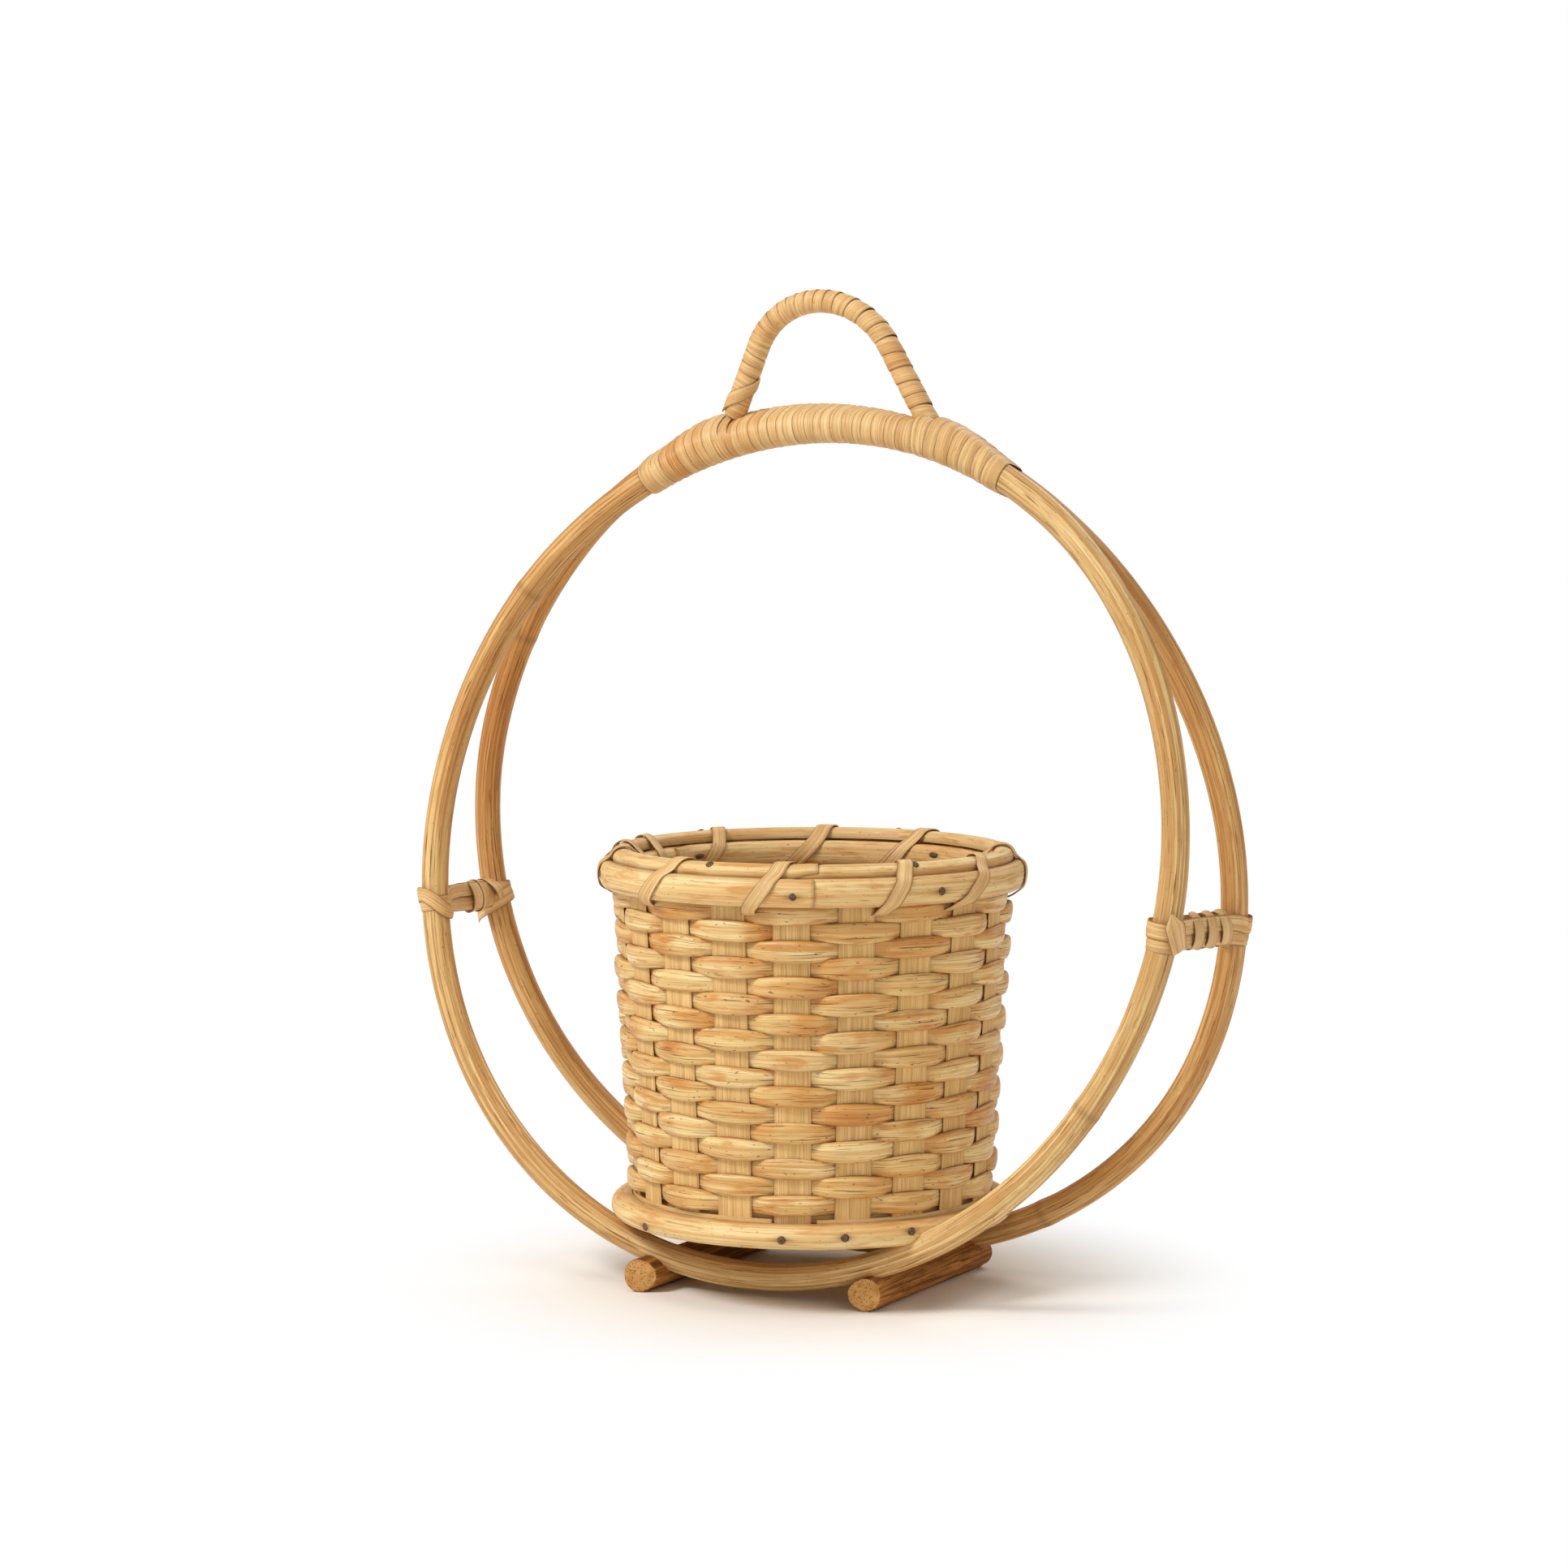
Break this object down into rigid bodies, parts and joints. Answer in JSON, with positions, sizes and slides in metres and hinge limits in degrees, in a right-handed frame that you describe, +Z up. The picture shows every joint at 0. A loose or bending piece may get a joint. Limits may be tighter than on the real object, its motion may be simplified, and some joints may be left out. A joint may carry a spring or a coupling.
{
  "type": "rattan planter basket",
  "caption": "Round woven rattan basket for a plant pot, held between two bent rattan hoops that stand on two pole feet, with a wrapped hanging loop on top.",
  "frame": {"origin": "on the floor, under the middle of the part's box", "axes": "+X to the right along the hoops, +Y to the back, +Z up"},
  "size_m": [0.3023, 0.1511, 0.349],
  "materials": {
    "pole": "rattan pole with its skin on, satin, fine lengthwise ridges and brown streaks",
    "foot": "browner rattan pole, matt, with sawn fibrous ends",
    "stake": "flat split rattan, matt, fine lengthwise fibres",
    "weaver": "half-round rattan, satin, pale crown and browner edges",
    "band": "half-round rattan, satin, pale straw with light streaks",
    "peel": "glossy outer peel of rattan, pale gold",
    "board": "plain thin board, matt"
  },
  "bodies": {
    "root": {"front_hoop": "pole", "back_hoop": "pole", "left_foot": "foot", "right_foot": "foot", "stake_01": "stake", "stake_02": "stake", "stake_03": "stake", "stake_04": "stake", "stake_05": "stake", "stake_06": "stake", "stake_07": "stake", "stake_08": "stake", "stake_09": "stake", "stake_10": "stake", "stake_11": "stake", "stake_12": "stake", "stake_13": "stake", "stake_14": "stake", "stake_15": "stake", "stake_16": "stake", "stake_17": "stake", "stake_18": "stake", "stake_19": "stake", "stake_20": "stake", "weaver_row_01": "weaver", "weaver_row_02": "weaver", "weaver_row_03": "weaver", "weaver_row_04": "weaver", "weaver_row_05": "weaver", "weaver_row_06": "weaver", "weaver_row_07": "weaver", "weaver_row_08": "weaver", "weaver_row_09": "weaver", "weaver_row_10": "weaver", "weaver_row_11": "weaver", "weaver_row_12": "weaver", "weaver_row_13": "weaver", "weaver_row_14": "weaver", "weaver_row_15": "weaver", "weaver_row_16": "weaver", "weaver_row_17": "weaver", "rim_weaver_row": "weaver", "basket_floor": "board", "base_band": "band", "rim_outer_band": "band", "rim_inner_band": "band", "rim_top_strip": "band", "rim_lashing": "peel", "top_binding": "peel", "handle_core": "pole", "handle_wrap": "peel", "left_tie_strap": "peel", "left_tie_wrap": "peel", "right_tie_strap": "peel", "right_tie_wrap": "peel"}
  },
  "joints": []
}
